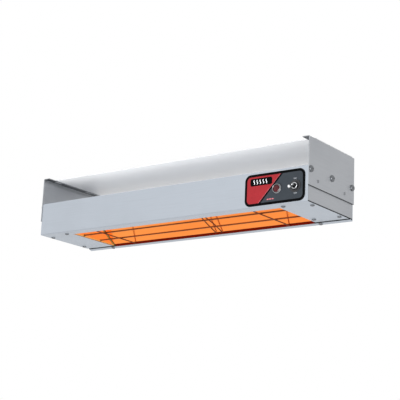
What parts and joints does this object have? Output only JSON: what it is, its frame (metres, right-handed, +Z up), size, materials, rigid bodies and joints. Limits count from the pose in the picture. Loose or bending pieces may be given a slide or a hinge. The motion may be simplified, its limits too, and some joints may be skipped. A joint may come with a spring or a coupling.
{
  "type": "strip heat lamp warmer",
  "caption": "Ceiling-hung strip heat lamp warmer: aluminium housing with a radiant element, reflector and wire guard below, toggle switch, indicator lamp and end brackets.",
  "frame": {"origin": "centre of the top plate's upper face, which meets the shelf or ceiling the warmer hangs from", "axes": "+Z up out of the top plate, +X along the housing towards the end with the switch, so -Y faces the person who works the switch; the element shines down along -Z"},
  "size_m": [0.6212, 0.1759, 0.12],
  "materials": {
    "brushed_aluminium": "satin brushed sheet",
    "polished_reflector": "bright rolled aluminium, lit orange by the element",
    "glowing_sheath": "oxidised metal sheath, glowing orange when on",
    "guard_wire": "heat-browned steel wire",
    "ceramic": "unglazed white ceramic",
    "fastener_steel": "zinc plated",
    "contact_brass": "stamped brass",
    "bright_chrome": "bright plated",
    "black_plastic": "moulded black",
    "red_lens": "translucent dark red",
    "label_film": "printed film, red and dark grey inside a black border",
    "lead_sleeve": "woven high temperature sleeving"
  },
  "bodies": {
    "housing": {"front_pan": "brushed_aluminium", "rear_channel": "brushed_aluminium", "end_cap_left": "brushed_aluminium", "end_cap_right": "brushed_aluminium", "bracket_left": "brushed_aluminium", "bracket_right": "brushed_aluminium", "top_plate": "brushed_aluminium", "reflector": "polished_reflector", "reflector_end_left": "polished_reflector", "reflector_end_right": "polished_reflector", "element_sheath": "glowing_sheath", "element_bushing_left": "ceramic", "element_stud_left": "fastener_steel", "element_bushing_right": "ceramic", "element_stud_right": "fastener_steel", "element_cradle": "guard_wire", "guard_rail_front": "guard_wire", "guard_rail_rear": "guard_wire", "guard_cross_left": "guard_wire", "guard_cross_right": "guard_wire", "label_panel": "label_film", "switch_body": "black_plastic", "switch_blade_line": "contact_brass", "switch_blade_load": "contact_brass", "switch_bushing": "bright_chrome", "switch_washer": "black_plastic", "switch_nut": "bright_chrome", "lamp_ring": "bright_chrome", "lamp_lens": "red_lens", "lamp_body": "black_plastic", "lamp_nut": "black_plastic", "cord_bushing": "black_plastic", "terminal_block": "ceramic", "lead_line": "lead_sleeve", "lead_load": "lead_sleeve", "lead_neutral": "lead_sleeve", "lead_lamp_line": "lead_sleeve", "lead_lamp_neutral": "lead_sleeve", "bracket_screw_left_front": "fastener_steel", "bracket_screw_left_middle": "fastener_steel", "bracket_screw_left_rear": "fastener_steel", "rivet_left_front": "brushed_aluminium", "rivet_left_rear": "brushed_aluminium", "bracket_screw_right_front": "fastener_steel", "bracket_screw_right_middle": "fastener_steel", "bracket_screw_right_rear": "fastener_steel", "rivet_right_front": "brushed_aluminium", "rivet_right_rear": "brushed_aluminium", "base_screw_left_front": "fastener_steel", "base_screw_left_rear": "fastener_steel", "base_screw_right_front": "fastener_steel", "base_screw_right_rear": "fastener_steel", "base_screw_inner_left_front": "fastener_steel", "base_screw_inner_right_front": "fastener_steel", "base_screw_inner_right_rear": "fastener_steel", "base_screw_lip_left": "fastener_steel", "base_screw_lip_right": "fastener_steel"},
    "lever": {"switch_lever": "bright_chrome"},
    "rocker": {"switch_rocker": "contact_brass"}
  },
  "joints": [
    {"name": "switch_toggle", "type": "hinge", "parent": "housing", "child": "lever", "pos_m": [0.28, -0.0885, -0.0868], "axis": [-1, 0, 0], "range_deg": [0, 34]},
    {"name": "rocker_turn", "type": "hinge", "parent": "housing", "child": "rocker", "pos_m": [0.28, -0.0716, -0.0868], "axis": [1, 0, 0], "range_deg": [0, 27.5]}
  ],
  "couplings": [
    {"joint": "rocker_turn", "follows": "switch_toggle", "ratio": 0.8}
  ]
}
